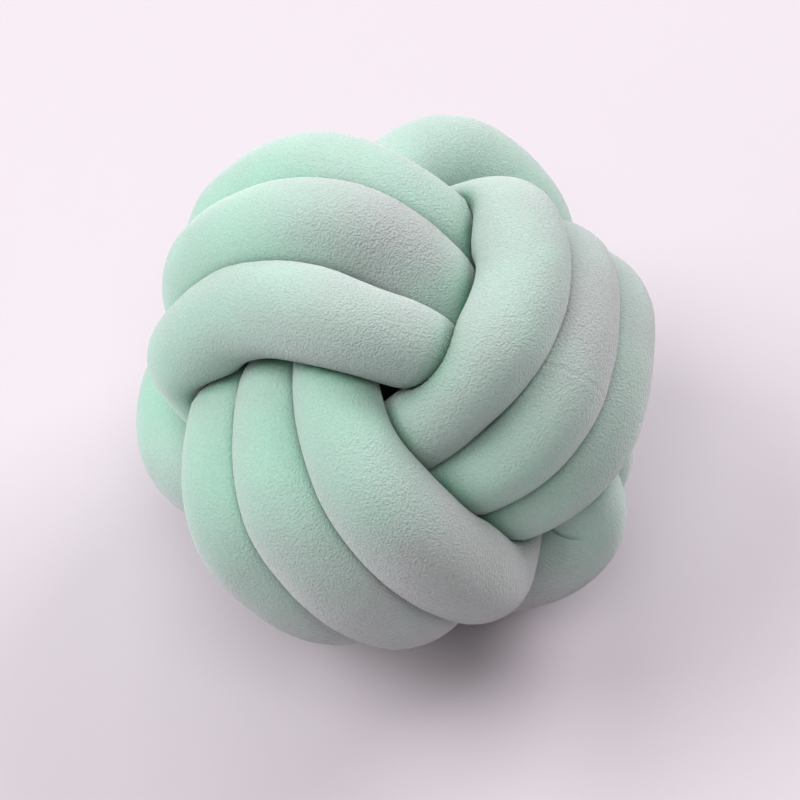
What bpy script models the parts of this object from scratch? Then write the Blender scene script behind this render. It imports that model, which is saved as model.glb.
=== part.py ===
"""Knot cushion: one long velvet tube, stuffed, and tied into a ball.

The tube makes three sets of three turns, as in a monkey's fist. Each set lies
over two opposite faces of the ball, and passes under the sets on the faces
beside them. Both ends of the tube meet in the hollow middle, out of sight.

Units are metres and +Z is up. The ball stands on Z = 0 with its middle over the
origin. The corner where three sets meet in a swirl looks forwards, along -Y, and up.
"""

import math
from collections import namedtuple

import bmesh
import bpy
import numpy as np

# The ball: distances from its middle to the line along the middle of the tube.
CREST = 0.1170  # over a face, on the middle one of its three turns
SIDE_CREST = 0.1135  # over a face, on the outer two
UNDER = 0.0755  # under the next face, on the middle turn
SIDE_UNDER = 0.0780  # under the next face, on the outer two
SQUARENESS = 2.6  # 2 makes a turn an ellipse, and more makes it fuller at its bends

# The tube: its own thickness, and how far apart its turns lie.
TUBE_RADIUS = 0.0275  # where it lies on top
PRESSED_RADIUS = 0.0200  # where another set presses it from above
END_RADIUS = 0.0160  # in the hollow middle
SPREAD = 0.0450  # from turn to turn, over a face
UNDER_SPREAD = 0.0310  # from turn to turn, under one
GAP = 0.0016  # left between two stretches of tube that press on each other
BEND_SHARE = 0.90  # most of a bend's own radius that the tube fills on its inner side

# How it stands.
CORNER_RISE = math.radians(54.2)  # how far up the swirl looks
CORNER_SIDE = math.radians(-3.3)  # how far it looks to the right
KNOT_TURN = math.radians(141.7)  # where the first face lies around the swirl, from the right
FLAT = 0.0055  # how far the ball's underside is pressed flat

# How finely it is modelled.
OWN_LENGTH = 0.012  # metres of tube beside a ring that count as the ring itself
BEND_LENGTH = 0.044  # and that count as its own bend, rather than another stretch
MERGE = 1e-6  # corners no further apart than this are made one
NEARLY_NOTHING = 1e-9  # divided by in place of nothing, or less
POINT_STEP = 22.5  # degrees from one point of the route to the next
FINE_STEPS = 12  # straight pieces between two points
RINGS = 400  # around the whole tube
SIDES = 13  # corners of each ring
FINER_RINGS = 3  # rings and sides at which the tube's reach is worked out, for each one modelled
FINER_SIDES = 2

# Where the tube runs out of sight. Angles are around a turn, in degrees: see turn_point.
SET_START = -45.0  # a set's first turn comes up here, out of the hollow middle
SET_END = 240.0  # and its last turn goes back in here
SHIFT_START = 225.0  # each turn starts to shift to the next one's place here
SHIFT_ANGLE = 90.0  # and has shifted after this much more
# The way through the middle to the next set: out, along and across, in metres.
CROSSING = ((-0.010, -0.054, -0.038), (0.026, -0.030, -0.042), (0.042, 0.006, -0.054))

# Each turn's own shape on top of the even ball above, in millimetres, as a ball tied and
# plumped by hand has it. rise is how much higher it crests on the near face. ahead and
# behind are how much further it reaches before it dives under the next face, and after it
# has come up from the last. slide is how far its crest slides along it. lean_in, lean,
# lean_out and dive are how far it leans across on its way up, at its crest, on its way down
# and under the next face. plump is how much thicker it is. The far_ columns are for the
# opposite face: how much higher it crests there, and how far it leans on its way to that
# crest, on it and after it. What isn't given is 0.
MM = 0.001
Turn = namedtuple(
    "Turn",
    "rise ahead behind slide lean_in lean lean_out dive plump far_rise far_in far_lean far_out",
    defaults=[0] * 13,
)
SETS = (
    (
        Turn(
            ahead=5, behind=-3, lean_in=-4, lean=-10, lean_out=13, dive=18, plump=-3, far_rise=2, far_in=4,
        ),
        Turn(rise=4, ahead=5, behind=-2, slide=6, lean_in=-6, lean=-3, dive=13),
        Turn(slide=4, lean=-2, lean_out=4, plump=-2),
    ),
    (
        Turn(ahead=-2, behind=-10, slide=6, lean_in=2, lean=-8, plump=-3, far_lean=3, far_out=2),
        Turn(rise=-3, ahead=8, behind=-2, slide=6, lean_in=-2, lean=2, lean_out=-4, far_lean=-3),
        Turn(rise=-4, ahead=2, behind=3, slide=-3, lean_in=2, lean=8, lean_out=-4, plump=-2),
    ),
    (
        Turn(rise=3, behind=-5, slide=-2, lean_in=-2, far_rise=4, far_lean=3, far_out=-2),
        Turn(rise=4, ahead=4, behind=-4, lean_out=-3, plump=2),
        Turn(rise=-2, ahead=3, behind=-4, slide=6, lean_in=-2, lean_out=-2),
    ),
)


def face_directions():
    """The outward directions of the three near faces, clockwise around the swirl."""
    corner = np.array(
        [
            math.sin(CORNER_SIDE) * math.cos(CORNER_RISE),
            -math.cos(CORNER_SIDE) * math.cos(CORNER_RISE),
            math.sin(CORNER_RISE),
        ]
    )
    right = np.array([math.cos(CORNER_SIDE), math.sin(CORNER_SIDE), 0.0])
    up = np.cross(corner, right)
    directions = []
    for face in range(3):
        angle = KNOT_TURN - face * math.tau / 3.0
        sideways = math.cos(angle) * right + math.sin(angle) * up
        directions.append(corner * math.sqrt(1.0 / 3.0) + sideways * math.sqrt(2.0 / 3.0))
    return directions


def hump(angle, at):
    """1 at one angle, falling smoothly to 0 at 45 degrees on either side, all in degrees."""
    apart = (angle - at + 180.0) % 360.0 - 180.0
    return math.cos(math.radians(2.0 * apart)) ** 2 if abs(apart) < 45.0 else 0.0


def rounded(value, size):
    """A cosine or sine made fuller, so that the loop it draws bends like a rounded box."""
    return math.copysign(abs(value) ** (2.0 / SQUARENESS), value) * size


def turn_point(turn, place, angle):
    """One point of a turn as out, along, across and radius. 0 degrees is the near crest,
    90 is under the next face, 180 the far crest and 270 under the face before."""
    cosine = math.cos(math.radians(angle))
    sine = math.sin(math.radians(angle))
    near = cosine > 0.0
    on_top = cosine * cosine
    beside = abs(place)
    crest = CREST + (SIDE_CREST - CREST) * beside + (turn.rise if near else turn.far_rise) * MM
    under = UNDER + (SIDE_UNDER - UNDER) * beside + (turn.ahead if sine > 0.0 else turn.behind) * MM
    out = rounded(cosine, crest)
    along = rounded(sine, under) + (turn.slide * MM * on_top if near else 0.0)
    lean = (
        turn.lean_in * hump(angle, -45.0)
        + turn.lean * hump(angle, 0.0)
        + turn.lean_out * hump(angle, 45.0)
        + turn.dive * hump(angle, 90.0)
        + turn.far_in * hump(angle, 135.0)
        + turn.far_lean * hump(angle, 180.0)
        + turn.far_out * hump(angle, 225.0)
    )
    across = place * (UNDER_SPREAD + (SPREAD - UNDER_SPREAD) * on_top) + lean * MM
    thick = TUBE_RADIUS + (turn.plump * MM if near else 0.0)
    radius = PRESSED_RADIUS + (thick - PRESSED_RADIUS) * on_top
    return np.array([out, along, across, radius])


def set_points(turns):
    """The route of one set, from the hollow middle through its turns and back to the middle."""
    points = []
    last = len(turns) - 1
    for number, turn in enumerate(turns):
        angle = SET_START if number == 0 else 0.0
        end = SET_END if number == last else 360.0
        while angle < end:
            point = turn_point(turn, 1 - number, angle)
            if number < last and angle > SHIFT_START:
                # Out of sight under the far side, each turn shifts over to the next one's place.
                share = min((angle - SHIFT_START) / SHIFT_ANGLE, 1.0)
                share = share * share * (3.0 - 2.0 * share)
                point = (1.0 - share) * point + share * turn_point(turns[number + 1], -number, angle)
            points.append(point)
            angle += POINT_STEP
    points += [np.array([*place, END_RADIUS]) for place in CROSSING]
    return points


def knot_route():
    """The whole closed route, as x, y, z and radius, with the ball's middle at the origin."""
    faces = face_directions()
    route = []
    for first, turns in enumerate(SETS):
        axes = np.array([faces[(first + step) % 3] for step in range(3)])
        for point in set_points(turns):
            route.append(np.append(point[:3] @ axes, point[3]))
    return np.array(route)


def smooth_closed(points, count):
    """Evenly spaced places along a smooth closed curve through all the points."""
    ahead = np.roll(points, -1, axis=0)
    gaps = np.sqrt(np.linalg.norm(ahead[:, :3] - points[:, :3], axis=1))
    rise = (ahead - points) / gaps[:, None]
    # The slopes that make the curve's bend even from one piece to the next.
    number = len(points)
    sums = np.zeros((number, number))
    for i in range(number):
        before, after = gaps[i - 1], gaps[i]
        sums[i, i - 1] += after
        sums[i, i] += 2.0 * (before + after)
        sums[i, (i + 1) % number] += before
    weights = 3.0 * (gaps[:, None] * np.roll(rise, 1, axis=0) + np.roll(gaps, 1)[:, None] * rise)
    slope = np.linalg.solve(sums, weights)
    start, leave = points[:, None], (slope * gaps[:, None])[:, None]
    end, arrive = ahead[:, None], (np.roll(slope, -1, axis=0) * gaps[:, None])[:, None]
    t = (np.arange(FINE_STEPS) / FINE_STEPS)[None, :, None]
    fine = (
        (2 * t**3 - 3 * t**2 + 1) * start
        + (t**3 - 2 * t**2 + t) * leave
        + (3 * t**2 - 2 * t**3) * end
        + (t**3 - t**2) * arrive
    ).reshape(-1, points.shape[1])
    fine = np.vstack([fine, fine[:1]])
    steps = np.linalg.norm(np.diff(fine[:, :3], axis=0), axis=1)
    run = np.concatenate([[0.0], np.cumsum(steps)])
    even = np.linspace(0.0, run[-1], count, endpoint=False)
    return np.stack([np.interp(even, run, column) for column in fine.T], axis=1), run[-1]


def ring_directions(places):
    """Two directions across the tube at each place, turned as little as can be along it."""
    ahead = np.roll(places, -1, axis=0) - np.roll(places, 1, axis=0)
    ahead /= np.linalg.norm(ahead, axis=1)[:, None]
    first = [np.cross(ahead[0], [0.0, 0.0, 1.0])]
    first[0] /= np.linalg.norm(first[0])
    for direction in [*ahead[1:], ahead[0]]:
        carried = first[-1] - direction * (first[-1] @ direction)
        first.append(carried / np.linalg.norm(carried))
    # What is over once round is turned back evenly, so that the ends of the skin meet.
    over = math.atan2(np.cross(first[0], first[-1]) @ ahead[0], first[0] @ first[-1])
    first = np.array(first[:-1])
    second = np.cross(ahead, first)
    back = -over * np.arange(len(places))[:, None] / len(places)
    return np.cos(back) * first + np.sin(back) * second, np.cos(back) * second - np.sin(back) * first


def tube_reach(contacts, length, sideways, upwards, angles):
    """How far the skin lies from each of the contacts, in each direction across the tube. It
    is the tube's own radius, or less where the tube presses on another stretch of itself: the
    two meet half way, where their round skins would cross."""
    reach = np.zeros((len(contacts), len(angles)))
    for number, (x, y, z, radius) in enumerate(contacts):
        apart = abs(np.arange(len(contacts)) - number)
        apart = np.minimum(apart, len(contacts) - apart) * length / len(contacts)
        others = apart > OWN_LENGTH
        bend = apart[others] < BEND_LENGTH
        to_others = contacts[others, :3] - [x, y, z]
        power = (to_others**2).sum(axis=1) + radius**2 - contacts[others, 3] ** 2
        directions = np.cos(angles)[:, None] * sideways[number] + np.sin(angles)[:, None] * upwards[number]
        limit = power / (2.0 * np.maximum(directions @ to_others.T, NEARLY_NOTHING))
        limit = np.where(bend, limit * BEND_SHARE, limit - GAP / 2.0)
        reach[number] = np.minimum(radius, limit.min(axis=1))
    # Flat faces cut across sharp creases, so each place keeps to the least reach around it.
    for axis in (0, 1):
        reach = np.minimum(reach, np.minimum(np.roll(reach, 1, axis), np.roll(reach, -1, axis)))
    return reach


def tube_rings():
    """The corners of each ring of the tube's skin."""
    contacts, length = smooth_closed(knot_route(), RINGS * FINER_RINGS)
    sideways, upwards = ring_directions(contacts[:, :3])
    angles = np.arange(SIDES * FINER_SIDES) * math.tau / (SIDES * FINER_SIDES)
    reach = tube_reach(contacts, length, sideways, upwards, angles)
    reach = reach[::FINER_RINGS, ::FINER_SIDES, None]
    across = np.cos(angles)[::FINER_SIDES, None] * sideways[::FINER_RINGS, None]
    across += np.sin(angles)[::FINER_SIDES, None] * upwards[::FINER_RINGS, None]
    return contacts[::FINER_RINGS, None, :3] + reach * across


def stand(places):
    """Centres the ball over the origin and presses its underside flat on Z = 0."""
    low, high = places.min(axis=(0, 1)), places.max(axis=(0, 1))
    places = places - [(low[0] + high[0]) / 2.0, (low[1] + high[1]) / 2.0, low[2] + FLAT]
    places[:, :, 2] = np.maximum(places[:, :, 2], 0.0)
    return places


def velvet():
    """Short-pile velvet, mint green."""
    material = bpy.data.materials.new("velvet")
    material.use_nodes = True
    shader = material.node_tree.nodes["Principled BSDF"]
    shader.inputs["Base Color"].default_value = (0.42, 0.66, 0.57, 1.0)
    shader.inputs["Roughness"].default_value = 0.9
    shader.inputs["Metallic"].default_value = 0.0
    shader.inputs["Sheen Weight"].default_value = 0.5
    return material


def knot_tube(collection):
    """The stuffed tube's skin: a flat grid, rolled round the route and joined at its edges."""
    places = stand(tube_rings())
    skin = bmesh.new()
    bmesh.ops.create_grid(skin, x_segments=RINGS, y_segments=SIDES, size=0.5)
    for corner in skin.verts:
        ring = round((corner.co.x + 0.5) * RINGS) % RINGS
        side = round((corner.co.y + 0.5) * SIDES) % SIDES
        corner.co = places[ring, side]
    bmesh.ops.remove_doubles(skin, verts=skin.verts, dist=MERGE)
    bmesh.ops.recalc_face_normals(skin, faces=skin.faces)
    mesh = bpy.data.meshes.new("knot_tube")
    skin.to_mesh(mesh)
    skin.free()
    mesh.shade_smooth()
    mesh.materials.append(velvet())
    collection.objects.link(bpy.data.objects.new("knot_tube", mesh))


def main():
    for old in list(bpy.data.objects):
        bpy.data.objects.remove(old, do_unlink=True)
    cushion = bpy.data.collections.new("knot_cushion")
    bpy.context.scene.collection.children.link(cushion)
    knot_tube(cushion)


main()
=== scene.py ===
"""Knot cushion: the looks.

The cushion is one long velvet tube, stuffed, and tied into a ball. Its route and its
thickness are those of the solid; here its skin is finer, its creases are soft, and it has
the small marks of sewing and stuffing and the velvet's short pile.

Units are metres and +Z is up. The swirl where three sets of turns meet looks forwards,
along -Y, and up.
"""

import math
from collections import namedtuple

import bmesh
import bpy
import numpy as np
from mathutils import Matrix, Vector, noise


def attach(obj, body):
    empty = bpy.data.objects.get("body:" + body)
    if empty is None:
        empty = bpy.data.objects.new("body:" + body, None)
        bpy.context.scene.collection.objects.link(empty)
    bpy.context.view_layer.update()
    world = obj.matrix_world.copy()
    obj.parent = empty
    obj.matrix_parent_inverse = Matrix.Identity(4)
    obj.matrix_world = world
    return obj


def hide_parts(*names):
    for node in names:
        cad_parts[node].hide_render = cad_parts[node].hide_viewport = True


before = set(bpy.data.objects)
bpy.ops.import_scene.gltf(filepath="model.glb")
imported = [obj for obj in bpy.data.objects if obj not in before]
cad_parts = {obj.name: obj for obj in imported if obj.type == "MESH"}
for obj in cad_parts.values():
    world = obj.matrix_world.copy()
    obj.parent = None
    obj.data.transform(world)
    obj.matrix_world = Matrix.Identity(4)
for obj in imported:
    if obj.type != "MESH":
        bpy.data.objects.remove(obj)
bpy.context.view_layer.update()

# The ball: distances from its middle to the line along the middle of the tube.
CREST = 0.1170  # over a face, on the middle one of its three turns
SIDE_CREST = 0.1135  # over a face, on the outer two
UNDER = 0.0755  # under the next face, on the middle turn
SIDE_UNDER = 0.0780  # under the next face, on the outer two
SQUARENESS = 2.6  # 2 makes a turn an ellipse, and more makes it fuller at its bends

# The tube: its own thickness, and how far apart its turns lie.
TUBE_RADIUS = 0.0275  # where it lies on top
PRESSED_RADIUS = 0.0200  # where another set presses it from above
END_RADIUS = 0.0160  # in the hollow middle
SPREAD = 0.0450  # from turn to turn, over a face
UNDER_SPREAD = 0.0310  # from turn to turn, under one
GAP = 0.0006  # left between two stretches of tube that press on each other
SOFTNESS = 0.0012  # how softly the skin turns from its round side into a crease
BEND_SHARE = 0.90  # most of a bend's own radius that the tube fills on its inner side

# How it stands.
CORNER_RISE = math.radians(54.2)  # how far up the swirl looks
CORNER_SIDE = math.radians(-3.3)  # how far it looks to the right
KNOT_TURN = math.radians(141.7)  # where the first face lies around the swirl, from the right
FLAT = 0.0055  # how far the ball's underside is pressed flat

# How finely it is modelled.
OWN_LENGTH = 0.012  # metres of tube beside a ring that count as the ring itself
BEND_LENGTH = 0.044  # and that count as its own bend, rather than another stretch
MERGE = 1e-6  # corners no further apart than this are made one
NEARLY_NOTHING = 1e-9  # divided by in place of nothing, or less
POINT_STEP = 22.5  # degrees from one point of the route to the next
FINE_STEPS = 12  # straight pieces between two points
RINGS = 1200  # evenly spaced around the whole tube
MARK_STEP = 0.0005  # metres between the rings that are added at a mark
SIDES = 76  # corners of each ring

# Where the tube runs out of sight. Angles are around a turn, in degrees: see turn_point.
SET_START = -45.0  # a set's first turn comes up here, out of the hollow middle
SET_END = 240.0  # and its last turn goes back in here
SHIFT_START = 225.0  # each turn starts to shift to the next one's place here
SHIFT_ANGLE = 90.0  # and has shifted after this much more
# The way through the middle to the next set: out, along and across, in metres.
CROSSING = ((-0.010, -0.054, -0.038), (0.026, -0.030, -0.042), (0.042, 0.006, -0.054))

# Each turn's own shape on top of the even ball above, in millimetres, as a ball tied and
# plumped by hand has it. rise is how much higher it crests on the near face. ahead and
# behind are how much further it reaches before it dives under the next face, and after it
# has come up from the last. slide is how far its crest slides along it. lean_in, lean,
# lean_out and dive are how far it leans across on its way up, at its crest, on its way down
# and under the next face. plump is how much thicker it is. The far_ columns are for the
# opposite face: how much higher it crests there, and how far it leans on its way to that
# crest, on it and after it. What isn't given is 0.
MM = 0.001
Turn = namedtuple(
    "Turn",
    "rise ahead behind slide lean_in lean lean_out dive plump far_rise far_in far_lean far_out",
    defaults=[0] * 13,
)
SETS = (
    (
        Turn(
            ahead=5, behind=-3, lean_in=-4, lean=-10, lean_out=13, dive=18, plump=-3,
            far_rise=2, far_in=4,
        ),
        Turn(rise=4, ahead=5, behind=-2, slide=6, lean_in=-6, lean=-3, dive=13),
        Turn(slide=4, lean=-2, lean_out=4, plump=-2),
    ),
    (
        Turn(ahead=-2, behind=-10, slide=6, lean_in=2, lean=-8, plump=-3, far_lean=3, far_out=2),
        Turn(rise=-3, ahead=8, behind=-2, slide=6, lean_in=-2, lean=2, lean_out=-4, far_lean=-3),
        Turn(rise=-4, ahead=2, behind=3, slide=-3, lean_in=2, lean=8, lean_out=-4, plump=-2),
    ),
    (
        Turn(rise=3, behind=-5, slide=-2, lean_in=-2, far_rise=4, far_lean=3, far_out=-2),
        Turn(rise=4, ahead=4, behind=-4, lean_out=-3, plump=2),
        Turn(rise=-2, ahead=3, behind=-4, slide=6, lean_in=-2, lean_out=-2),
    ),
)

# How the pile lies along each turn, from -1, where it is greyer and darker, to 1, where it is
# greener: on its way up, at its crest, on its way down and on the opposite face. It is partly
# the pile's lie and partly painted light and shade: the values are mostly high on the upper
# set, where the light falls, and mostly low on the sets below and to the right, in shade.
NapAndShade = namedtuple("NapAndShade", "way_up crest way_down far")
NAPS_AND_SHADE = (
    (NapAndShade(1.0, 0.0, -0.5, -1.0), NapAndShade(0.8, 0.4, -0.8, 0.0), NapAndShade(1.0, 0.4, 0.0, 0.0)),
    (NapAndShade(-0.2, -0.4, -0.3, 0.8), NapAndShade(-0.4, -0.9, 0.0, 0.0), NapAndShade(-0.4, -0.4, -0.2, 0.0)),
    (NapAndShade(-1.0, -0.9, 0.3, 0.0), NapAndShade(-1.0, -0.8, 0.4, 0.0), NapAndShade(-1.0, -0.4, 0.5, 0.0)),
)

# The marks of sewing and stuffing. A mark is a place on a turn: its set, the turn in it and
# the angle around that turn. One cross seam joins two lengths of cloth, and one tight bend is
# gathered on its inner side. A mark's reach is how far it has more rings, either way.
Mark = namedtuple("Mark", "set turn angle")
SEAM = Mark(1, 1, 18.0)
SEAM_DEPTH = 0.0003
SEAM_WIDTH = 0.0009
SEAM_RIDGE = 0.0003  # how far the cloth stands up along the seam
RIDGE_WIDTH = 0.0030
SEAM_REACH = 2.0 * RIDGE_WIDTH
GATHERS = Mark(0, 0, 147.0)
GATHER_SIDE = 86.0  # where they lie around the tube, from its outer side, in degrees
GATHER_DEPTH = 0.0008
GATHER_STEP = 0.0032  # from one gather to the next
GATHER_ANGLE = 14.0  # how far they reach round the tube, in degrees
GATHERED_LENGTH = 0.014  # how far they reach along it, either way
GATHER_END = 4  # how suddenly they end there
GATHERS_REACH = 1.3 * GATHERED_LENGTH
LUMPS = ((22.0, 0.0011), (58.0, 0.0004))  # the filling's lumps: how many a metre, and how high
LUMPS_END = 4  # how suddenly they fade where the tube is pressed

# The creases where one turn dives under another, where the pile is painted dark green as
# painted shade. A turn crosses another where the cosine of the angle between them is less
# than CROSSES.
CROSSES = 0.7
CREASE_WIDTH = 0.0038  # how near the other turn has to be for the painted shade to darken the pile
FAR_OFF = 1.0  # stands for the distance to a turn that doesn't cross

# The velvet's colours.
GREY_MINT = "#AAB0AE"  # where the pile leans away, and painted shade on the shaded lower turns
GREEN_MINT = "#9FDAC1"  # where it leans towards the eye, and painted light on the lit upper turns
CREASE_SHADE_MINT = "#347C5E"  # painted shade in the creases
PALE_SHEEN = "#F4F1F4"

# How its pile lies, from 0, where it is grey, to 1, where it is green.
STROKES = 24.0  # patches a metre, each about 42 mm wide, as a hand strokes them
STROKE_DETAIL = 4.0
GREYEST, GREENEST = 0.15, 0.65  # how far the patches take it
NAP_AND_SHADE_SHARE = 0.45  # how much further a turn's nap, which is partly painted light and shade, takes it

# Its tufts. They are really about 0.4 mm apart, which is too fine to show in the picture, so
# they are drawn about 1.2 mm apart. The fuzz is a second pattern of nearly the same width.
TUFTS = 860.0  # a metre
FUZZ = 800.0
TUFT_DETAIL = 2.0
TUFT_SPREAD = (0.3, 0.7)  # the noise seldom goes past these
TUFT_SHADES = (0.93, 1.07)  # the darkest and the lightest
TUFT_HEIGHT = 0.0012
FUZZ_HEIGHT = 0.0004
FUZZ_STRENGTH = 0.5
RUFFLED, LAID_FLAT = 1.0, 0.4  # how much the tufts stand out where the pile is grey, and green
FLATTEST_AT = 0.7  # how green it is where it is laid flattest

# The studio. Each lamp has how far round it stands from the right, going to the back, and
# how far up, both in degrees, and its watts.
Lamp = namedtuple("Lamp", "name around up watts")
LAMPS = (
    Lamp("left_light", 180.0, 47.0, 67.0),
    Lamp("right_back_light", 43.0, 38.0, 64.0),
    Lamp("back_light", 110.0, 48.0, 22.0),
    Lamp("front_light", 266.0, 68.0, 40.0),
)
LAMP_DISTANCE = 3.0  # from the middle of the ball
LAMP_SIZE = 1.8  # along each side
ROOM_COLOUR = "#FBF4F8"
ROOM_STRENGTH = 0.09
FLOOR_COLOUR = "#CEC5CC"
FLOOR_HALF = 5.0  # from its middle to its edge

# The photograph: how the camera looks at the ball.
CAMERA_ELEVATION = math.radians(53.0)
CAMERA_DISTANCE = 1.10  # from the middle of the ball
CAMERA_LENS = 92.1  # millimetres
CAMERA_SENSOR = 36.0  # millimetres across
AIM_RIGHT = 0.0010  # the picture's centre lies this far right of the ball's middle
AIM_DOWN = 0.0088  # and this far below it


def face_directions():
    """The outward directions of the three near faces, clockwise around the swirl."""
    corner = np.array(
        [
            math.sin(CORNER_SIDE) * math.cos(CORNER_RISE),
            -math.cos(CORNER_SIDE) * math.cos(CORNER_RISE),
            math.sin(CORNER_RISE),
        ]
    )
    right = np.array([math.cos(CORNER_SIDE), math.sin(CORNER_SIDE), 0.0])
    up = np.cross(corner, right)
    directions = []
    for face in range(3):
        angle = KNOT_TURN - face * math.tau / 3.0
        sideways = math.cos(angle) * right + math.sin(angle) * up
        directions.append(corner * math.sqrt(1.0 / 3.0) + sideways * math.sqrt(2.0 / 3.0))
    return directions


def hump(angle, at):
    """1 at one angle, falling smoothly to 0 at 45 degrees on either side, all in degrees."""
    apart = (angle - at + 180.0) % 360.0 - 180.0
    return math.cos(math.radians(2.0 * apart)) ** 2 if abs(apart) < 45.0 else 0.0


def rounded(value, size):
    """A cosine or sine made fuller, so that the loop it draws bends like a rounded box."""
    return math.copysign(abs(value) ** (2.0 / SQUARENESS), value) * size


def turn_point(turn, nap_and_shade, place, angle):
    """One point of a turn as out, along, across, radius and nap, which is partly painted light and
    shade. 0 degrees is the near crest, 90 is under the next face, 180 the far crest and 270
    under the face before."""
    cosine = math.cos(math.radians(angle))
    sine = math.sin(math.radians(angle))
    near = cosine > 0.0
    on_top = cosine * cosine
    beside = abs(place)
    crest = CREST + (SIDE_CREST - CREST) * beside + (turn.rise if near else turn.far_rise) * MM
    under = UNDER + (SIDE_UNDER - UNDER) * beside + (turn.ahead if sine > 0.0 else turn.behind) * MM
    out = rounded(cosine, crest)
    along = rounded(sine, under) + (turn.slide * MM * on_top if near else 0.0)
    lean = (
        turn.lean_in * hump(angle, -45.0)
        + turn.lean * hump(angle, 0.0)
        + turn.lean_out * hump(angle, 45.0)
        + turn.dive * hump(angle, 90.0)
        + turn.far_in * hump(angle, 135.0)
        + turn.far_lean * hump(angle, 180.0)
        + turn.far_out * hump(angle, 225.0)
    )
    across = place * (UNDER_SPREAD + (SPREAD - UNDER_SPREAD) * on_top) + lean * MM
    thick = TUBE_RADIUS + (turn.plump * MM if near else 0.0)
    radius = PRESSED_RADIUS + (thick - PRESSED_RADIUS) * on_top
    # The nap, which is partly painted light and shade.
    lie_and_shade = (
        nap_and_shade.way_up * hump(angle, -45.0)
        + nap_and_shade.crest * hump(angle, 0.0)
        + nap_and_shade.way_down * hump(angle, 45.0)
        + nap_and_shade.far * hump(angle, 180.0)
    )
    return np.array([out, along, across, radius, lie_and_shade])


def set_points(turns, naps_and_shade):
    """The route of one set, from the hollow middle through its turns and back to the middle."""
    points = []
    last = len(turns) - 1
    for number, (turn, nap_and_shade) in enumerate(zip(turns, naps_and_shade)):
        angle = SET_START if number == 0 else 0.0
        end = SET_END if number == last else 360.0
        while angle < end:
            point = turn_point(turn, nap_and_shade, 1 - number, angle)
            if number < last and angle > SHIFT_START:
                # Out of sight under the far side, each turn shifts over to the next one's place.
                share = min((angle - SHIFT_START) / SHIFT_ANGLE, 1.0)
                share = share * share * (3.0 - 2.0 * share)
                after = turn_point(turns[number + 1], naps_and_shade[number + 1], -number, angle)
                point = (1.0 - share) * point + share * after
            points.append(point)
            angle += POINT_STEP
    points += [np.array([*place, END_RADIUS, 0.0]) for place in CROSSING]
    return points


def set_axes(first):
    """The directions out, along and across of one set."""
    faces = face_directions()
    return np.array([faces[(first + step) % 3] for step in range(3)])


def knot_route():
    """The whole closed route, as x, y, z, radius and nap with its painted light and shade, with
    the ball's middle at the origin.
    """
    route = []
    for first, (turns, naps_and_shade) in enumerate(zip(SETS, NAPS_AND_SHADE)):
        for point in set_points(turns, naps_and_shade):
            route.append(np.append(point[:3] @ set_axes(first), point[3:]))
    return np.array(route)


def smooth_closed(points):
    """Many places along a smooth closed curve through all the points, and how far along it
    each one lies. The last place is the first one again."""
    ahead = np.roll(points, -1, axis=0)
    gaps = np.sqrt(np.linalg.norm(ahead[:, :3] - points[:, :3], axis=1))
    rise = (ahead - points) / gaps[:, None]
    # The slopes that make the curve's bend even from one piece to the next.
    number = len(points)
    sums = np.zeros((number, number))
    for i in range(number):
        before, after = gaps[i - 1], gaps[i]
        sums[i, i - 1] += after
        sums[i, i] += 2.0 * (before + after)
        sums[i, (i + 1) % number] += before
    weights = 3.0 * (gaps[:, None] * np.roll(rise, 1, axis=0) + np.roll(gaps, 1)[:, None] * rise)
    slope = np.linalg.solve(sums, weights)
    start, leave = points[:, None], (slope * gaps[:, None])[:, None]
    end, arrive = ahead[:, None], (np.roll(slope, -1, axis=0) * gaps[:, None])[:, None]
    t = (np.arange(FINE_STEPS) / FINE_STEPS)[None, :, None]
    fine = (
        (2 * t**3 - 3 * t**2 + 1) * start
        + (t**3 - 2 * t**2 + t) * leave
        + (3 * t**2 - 2 * t**3) * end
        + (t**3 - t**2) * arrive
    ).reshape(-1, points.shape[1])
    fine = np.vstack([fine, fine[:1]])
    steps = np.linalg.norm(np.diff(fine[:, :3], axis=0), axis=1)
    return fine, np.concatenate([[0.0], np.cumsum(steps)])


def mark_length(mark, fine, run):
    """How far along the tube a mark lies."""
    turn = SETS[mark.set][mark.turn]
    nap_and_shade = NAPS_AND_SHADE[mark.set][mark.turn]
    place = turn_point(turn, nap_and_shade, 1 - mark.turn, mark.angle)[:3] @ set_axes(mark.set)
    return run[np.linalg.norm(fine[:, :3] - place, axis=1).argmin()]


def ring_lengths(whole, marks):
    """How far along the tube each ring lies. The rings are evenly spaced, with more of them
    at the marks, each of which is given with its reach."""
    lengths = np.linspace(0.0, whole, RINGS, endpoint=False)
    for middle, reach in marks:
        lengths = lengths[abs(lengths - middle) > reach]
        lengths = np.append(lengths, np.arange(middle - reach, middle + reach, MARK_STEP))
    return np.sort(lengths)


def ring_directions(places):
    """Two directions across the tube at each place, turned as little as can be along it."""
    ahead = np.roll(places, -1, axis=0) - np.roll(places, 1, axis=0)
    ahead /= np.linalg.norm(ahead, axis=1)[:, None]
    first = [np.cross(ahead[0], [0.0, 0.0, 1.0])]
    first[0] /= np.linalg.norm(first[0])
    for direction in [*ahead[1:], ahead[0]]:
        carried = first[-1] - direction * (first[-1] @ direction)
        first.append(carried / np.linalg.norm(carried))
    # What is over once round is turned back evenly, so that the ends of the skin meet.
    over = math.atan2(np.cross(first[0], first[-1]) @ ahead[0], first[0] @ first[-1])
    first = np.array(first[:-1])
    second = np.cross(ahead, first)
    back = -over * np.arange(len(places))[:, None] / len(places)
    return np.cos(back) * first + np.sin(back) * second, np.cos(back) * second - np.sin(back) * first


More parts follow.
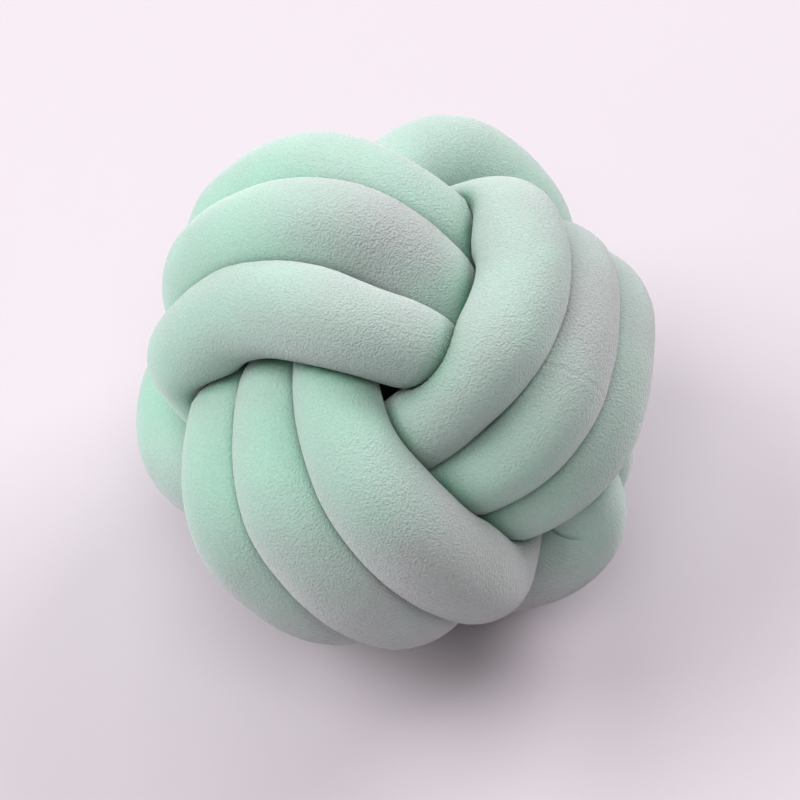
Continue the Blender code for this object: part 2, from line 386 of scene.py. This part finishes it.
def tube_reach(rings, lengths, whole, across):
    """How far the skin lies from the middle of each ring, in each direction across the tube,
    and how much painted crease shade it has there, from 0 to 1: the pile is painted darker and
    greener near a turn that crosses. The skin is the tube's own radius away, or less where the
    tube presses on another stretch of itself: the two meet half way, where their round skins
    would cross."""
    reach, crease_shade = np.zeros(across.shape[:2]), np.zeros(across.shape[:2])
    ahead = np.cross(across[:, 0], across[:, SIDES // 4])
    for number, (x, y, z, radius, _) in enumerate(rings):
        apart = abs(lengths - lengths[number])
        apart = np.minimum(apart, whole - apart)
        others = apart > OWN_LENGTH
        bend = apart[others] < BEND_LENGTH
        to_others = rings[others, :3] - [x, y, z]
        power = (to_others**2).sum(axis=1) + radius**2 - rings[others, 3] ** 2
        towards = across[number] @ to_others.T
        limit = power / (2.0 * np.maximum(towards, NEARLY_NOTHING))
        limit = np.where(bend, limit * BEND_SHARE, limit - GAP / 2.0).min(axis=1)
        out = -SOFTNESS * np.logaddexp(-radius / SOFTNESS, -limit / SOFTNESS)
        squares = (to_others**2).sum(axis=1) - 2.0 * out[:, None] * towards + out[:, None] ** 2
        # Painted shade: near a turn that crosses this one, the pile is painted darker and greener.
        crosses = abs(ahead[others] @ ahead[number]) < CROSSES
        clear = np.where(crosses, np.sqrt(squares) - rings[others, 3], FAR_OFF).min(axis=1)
        reach[number], crease_shade[number] = out, np.exp(-np.maximum(clear, 0.0) / CREASE_WIDTH)
    return reach, crease_shade


def outer_angles(middles, ahead, across):
    """The angle of each direction across the tube from the one that looks out of the ball."""
    outer = middles - ahead * (middles * ahead).sum(axis=1)[:, None]
    outer /= np.linalg.norm(outer, axis=1)[:, None]
    beside = np.cross(ahead, outer)
    return np.arctan2((across * beside[:, None]).sum(axis=2), (across * outer[:, None]).sum(axis=2))


def relief(from_seam, from_gathers, sides):
    """How far the seam and the gathers stand out of the tube's skin, or lie in it. It is given
    each ring's distances along the tube from the two, and the outer angles of its corners."""
    from_seam, from_gathers = from_seam[:, None], from_gathers[:, None]
    raised = SEAM_RIDGE * np.exp(-((from_seam / RIDGE_WIDTH) ** 2))
    raised -= SEAM_DEPTH * np.exp(-((from_seam / SEAM_WIDTH) ** 2))
    grooves = np.maximum(np.cos(math.tau * from_gathers / GATHER_STEP), 0.0) ** 2
    fading = np.exp(-((from_gathers / GATHERED_LENGTH) ** GATHER_END))
    beside = (sides - math.radians(GATHER_SIDE) + math.pi) % math.tau - math.pi
    nearby = np.exp(-((beside / math.radians(GATHER_ANGLE)) ** 2))
    return raised - GATHER_DEPTH * grooves * fading * nearby


def lumps(place):
    """How high the filling's lumps stand at one place."""
    return sum(noise.noise(Vector(place) * number) * height for number, height in LUMPS)


def stand(places):
    """How far the ball is moved so that it is centred over the origin and stands on Z = 0."""
    low, high = places.min(axis=(0, 1)), places.max(axis=(0, 1))
    return np.array([-(low[0] + high[0]) / 2.0, -(low[1] + high[1]) / 2.0, -low[2] - FLAT])


def tube_skin(places, nap_and_shade, crease_shade):
    """The skin of the tube: a flat grid, rolled round the route and joined at its edges. The
    grid's corners lie from -0.5 to 0.5 both ways."""
    rings, sides = places.shape[:2]
    skin = bmesh.new()
    bmesh.ops.create_grid(skin, x_segments=rings, y_segments=sides, size=0.5, calc_uvs=True)
    lie_and_shade = skin.verts.layers.float.new("nap_and_shade")
    crease_shade_layer = skin.verts.layers.float.new("crease_shade")
    for corner in skin.verts:
        ring = round((corner.co.x + 0.5) * rings) % rings
        side = round((corner.co.y + 0.5) * sides) % sides
        corner.co = places[ring, side]
        # The nap, which is partly painted light and shade.
        corner[lie_and_shade] = nap_and_shade[ring]
        # The painted crease shade.
        corner[crease_shade_layer] = crease_shade[ring, side]
    bmesh.ops.remove_doubles(skin, verts=skin.verts, dist=MERGE)
    bmesh.ops.recalc_face_normals(skin, faces=skin.faces)
    mesh = bpy.data.meshes.new("stuffed_tube")
    skin.to_mesh(mesh)
    skin.free()
    mesh.shade_smooth()
    tube = bpy.data.objects.new("stuffed_tube", mesh)
    bpy.context.scene.collection.objects.link(tube)
    return tube


def linear(colour):
    """An sRGB hex colour as the linear values that a shader takes."""
    values = [int(colour[place : place + 2], 16) / 255.0 for place in (1, 3, 5)]
    return (*[v / 12.92 if v <= 0.04045 else ((v + 0.055) / 1.055) ** 2.4 for v in values], 1.0)


def add(tree, kind, settings=None, links=None):
    """Adds one node, with its settings and links by the names or numbers of its inputs."""
    node = tree.nodes.new(kind)
    for name, value in (settings or {}).items():
        if isinstance(name, int) or name in node.inputs:
            node.inputs[name].default_value = value
        else:
            setattr(node, name, value)
    for name, source in (links or {}).items():
        tree.links.new(source, node.inputs[name])
    return node


def pile_lie_and_shade(tree, place):
    """How the pile lies: broad patches, and on top of them the nap of each stretch, which is
    partly painted light and shade.
    """
    strokes = add(
        tree,
        "ShaderNodeTexNoise",
        {"Scale": STROKES, "Detail": STROKE_DETAIL},
        {"Vector": place},
    )
    patches = add(
        tree,
        "ShaderNodeMapRange",
        {"To Min": GREYEST, "To Max": GREENEST},
        {"Value": strokes.outputs["Fac"]},
    )
    # The nap is partly the pile's lie and partly painted light and shade.
    nap_and_shade = add(tree, "ShaderNodeAttribute", {"attribute_name": "nap_and_shade"})
    lie_and_shade = add(
        tree,
        "ShaderNodeMath",
        {"operation": "MULTIPLY_ADD", 1: NAP_AND_SHADE_SHARE, "use_clamp": True},
        {0: nap_and_shade.outputs["Fac"], 2: patches.outputs["Result"]},
    )
    return lie_and_shade.outputs["Value"]


def pile_colour(tree, lie_and_shade, tufts):
    """Greener or greyer as the pile lies and as painted light and shade take it, dark green
    painted shade in the creases, and a little darker and lighter from tuft to tuft."""
    lie_and_shade_colour = add(
        tree,
        "ShaderNodeMix",
        {"data_type": "RGBA", "A": linear(GREY_MINT), "B": linear(GREEN_MINT)},
        {"Factor": lie_and_shade},
    )
    # Painted shade: the creases are painted dark green.
    crease_shade = add(tree, "ShaderNodeAttribute", {"attribute_name": "crease_shade"})
    shaded = add(
        tree,
        "ShaderNodeMix",
        {"data_type": "RGBA", "B": linear(CREASE_SHADE_MINT)},
        {"Factor": crease_shade.outputs["Fac"], "A": lie_and_shade_colour.outputs["Result"]},
    )
    shades = add(
        tree,
        "ShaderNodeMapRange",
        {
            "From Min": TUFT_SPREAD[0],
            "From Max": TUFT_SPREAD[1],
            "To Min": TUFT_SHADES[0],
            "To Max": TUFT_SHADES[1],
        },
        {"Value": tufts},
    )
    mottled = add(
        tree,
        "ShaderNodeVectorMath",
        {"operation": "SCALE"},
        {0: shaded.outputs["Result"], "Scale": shades.outputs["Result"]},
    )
    return mottled.outputs["Vector"]


def pile_relief(tree, lie_and_shade, tufts, fuzz):
    """The tufts, which stand out most where the pile is grey, and the fuzz over them."""
    standing = add(
        tree,
        "ShaderNodeMapRange",
        {"From Max": FLATTEST_AT, "To Min": RUFFLED, "To Max": LAID_FLAT},
        {"Value": lie_and_shade},
    )
    tufted = add(
        tree,
        "ShaderNodeBump",
        {"Distance": TUFT_HEIGHT},
        {"Strength": standing.outputs["Result"], "Height": tufts},
    )
    fuzzed = add(
        tree,
        "ShaderNodeBump",
        {"Strength": FUZZ_STRENGTH, "Distance": FUZZ_HEIGHT},
        {"Height": fuzz, "Normal": tufted.outputs["Normal"]},
    )
    return fuzzed.outputs["Normal"]


def velvet():
    """Knitted polyester velvet, dyed mint, with a pile about 1.5 mm long. It has no gloss. Its
    fine threads catch the light at the edges, which makes each turn's rim pale, and a pile
    that lies this way and that makes it greener in some places and greyer in others. Painted
    light and shade add to that: greener and lighter on the lit upper turns, greyer and darker
    on the shaded lower ones, and dark green in the creases."""
    material = bpy.data.materials.new("mint_velvet")
    material.use_nodes = True
    tree = material.node_tree
    shader = tree.nodes["Principled BSDF"]
    place = add(tree, "ShaderNodeTexCoord").outputs["Object"]
    lie_and_shade = pile_lie_and_shade(tree, place)
    tufts, fuzz = (
        add(tree, "ShaderNodeTexNoise", {"Scale": scale, "Detail": TUFT_DETAIL}, {"Vector": place})
        for scale in (TUFTS, FUZZ)
    )
    colour = pile_colour(tree, lie_and_shade, tufts.outputs["Fac"])
    normal = pile_relief(tree, lie_and_shade, tufts.outputs["Fac"], fuzz.outputs["Fac"])
    tree.links.new(colour, shader.inputs["Base Color"])
    tree.links.new(normal, shader.inputs["Normal"])
    shader.inputs["Roughness"].default_value = 1.0
    shader.inputs["IOR"].default_value = 1.5
    shader.inputs["Specular IOR Level"].default_value = 0.1
    shader.inputs["Sheen Weight"].default_value = 0.8
    shader.inputs["Sheen Roughness"].default_value = 0.5
    shader.inputs["Sheen Tint"].default_value = linear(PALE_SHEEN)
    return material


def cushion():
    """The stuffed tube, in place of its plain solid. Gives the middle of the ball."""
    fine, run = smooth_closed(knot_route())
    seam, gathers = mark_length(SEAM, fine, run), mark_length(GATHERS, fine, run)
    lengths = ring_lengths(run[-1], ((seam, SEAM_REACH), (gathers, GATHERS_REACH)))
    rings = np.stack([np.interp(lengths, run, column) for column in fine.T], axis=1)
    sideways, upwards = ring_directions(rings[:, :3])
    angles = np.arange(SIDES) * math.tau / SIDES
    across = np.cos(angles)[:, None] * sideways[:, None] + np.sin(angles)[:, None] * upwards[:, None]
    reach, crease_shade = tube_reach(rings, lengths, run[-1], across)
    places = rings[:, None, :3] + reach[:, :, None] * across
    sides = outer_angles(rings[:, :3], np.cross(sideways, upwards), across)
    free = (reach / rings[:, None, 3]) ** LUMPS_END
    stands_out = relief(lengths - seam, lengths - gathers, sides)
    stands_out += free * np.array([[lumps(place) for place in ring] for ring in places])
    places += stands_out[:, :, None] * across
    move = stand(places)
    places = places + move
    # What would lie below the floor is pressed flat on it.
    places[:, :, 2] = np.maximum(places[:, :, 2], 0.0)
    tube = tube_skin(places, rings[:, 4], crease_shade)
    tube.data.materials.append(velvet())
    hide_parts("knot_tube")
    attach(tube, "root")
    return Vector(move)


def floor():
    """A plain floor in matt paint, which spreads the light evenly. It is pale and very
    faintly pink."""
    paint = bpy.data.materials.new("matt_paint")
    paint.use_nodes = True
    shader = paint.node_tree.nodes["Principled BSDF"]
    shader.inputs["Base Color"].default_value = linear(FLOOR_COLOUR)
    shader.inputs["Roughness"].default_value = 0.9
    shader.inputs["Specular IOR Level"].default_value = 0.1
    skin = bmesh.new()
    bmesh.ops.create_grid(skin, x_segments=1, y_segments=1, size=FLOOR_HALF)
    mesh = bpy.data.meshes.new("floor")
    skin.to_mesh(mesh)
    skin.free()
    mesh.materials.append(paint)
    plane = bpy.data.objects.new("floor", mesh)
    bpy.context.scene.collection.objects.link(plane)


def place_lamp(lamp, aim):
    """A square soft lamp, turned to the aim."""
    light = bpy.data.lights.new(lamp.name, "AREA")
    light.shape = "SQUARE"
    light.size = LAMP_SIZE
    light.energy = lamp.watts
    around, up = math.radians(lamp.around), math.radians(lamp.up)
    out = Vector((math.cos(around) * math.cos(up), math.sin(around) * math.cos(up), math.sin(up)))
    holder = bpy.data.objects.new(lamp.name, light)
    holder.location = aim + LAMP_DISTANCE * out
    holder.rotation_euler = (-out).to_track_quat("-Z", "Y").to_euler()
    bpy.context.scene.collection.objects.link(holder)


def studio_light(middle):
    """Large soft lamps to the left and behind on the right, with weaker ones behind the ball
    and above the camera, in a dim room."""
    for lamp in LAMPS:
        place_lamp(lamp, middle)
    room = bpy.data.worlds.new("room")
    room.use_nodes = True
    room.node_tree.nodes["Background"].inputs["Color"].default_value = linear(ROOM_COLOUR)
    room.node_tree.nodes["Background"].inputs["Strength"].default_value = ROOM_STRENGTH
    bpy.context.scene.world = room
    bpy.context.scene.view_settings.view_transform = "Standard"


def camera(middle):
    """The camera at the photograph's angle, in front of the ball and above it."""
    view = bpy.data.cameras.new("camera")
    view.lens = CAMERA_LENS
    view.sensor_width = CAMERA_SENSOR
    towards_camera = Vector((0.0, -math.cos(CAMERA_ELEVATION), math.sin(CAMERA_ELEVATION)))
    picture_up = Vector((0.0, math.sin(CAMERA_ELEVATION), math.cos(CAMERA_ELEVATION)))
    aim = middle + AIM_RIGHT * Vector((1.0, 0.0, 0.0)) - AIM_DOWN * picture_up
    holder = bpy.data.objects.new("camera", view)
    holder.location = middle + CAMERA_DISTANCE * towards_camera
    holder.rotation_euler = (aim - holder.location).to_track_quat("-Z", "Y").to_euler()
    bpy.context.scene.collection.objects.link(holder)
    bpy.context.scene.camera = holder


ball_middle = cushion()
floor()
studio_light(ball_middle)
camera(ball_middle)
